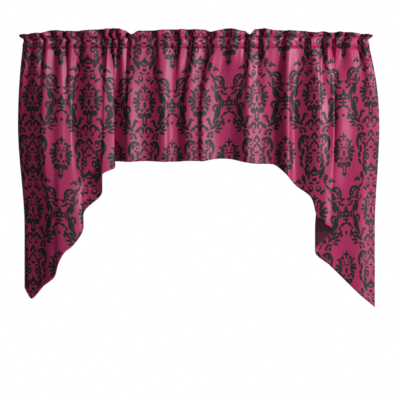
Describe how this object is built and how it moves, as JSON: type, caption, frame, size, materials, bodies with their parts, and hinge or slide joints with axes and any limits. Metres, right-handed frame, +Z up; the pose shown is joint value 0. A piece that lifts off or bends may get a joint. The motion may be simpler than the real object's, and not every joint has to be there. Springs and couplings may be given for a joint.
{
  "type": "window valance",
  "caption": "Gathered printed satin window valance with a ruffled rod-pocket heading, a straight raised centre hem and a pointed tail at each side.",
  "frame": {"origin": "middle of the rod's axis, inside the pocket of the heading", "axes": "+X along the rod to the viewer's right, -Y is the printed face towards the room, +Y towards the window, +Z up"},
  "size_m": [1.174, 0.0978, 0.907],
  "materials": {
    "printed_satin": "satin, printed in black on wine pink, with a plain dark plum reverse"
  },
  "bodies": {
    "root": {"heading": "printed_satin", "panel": "printed_satin"}
  },
  "joints": []
}
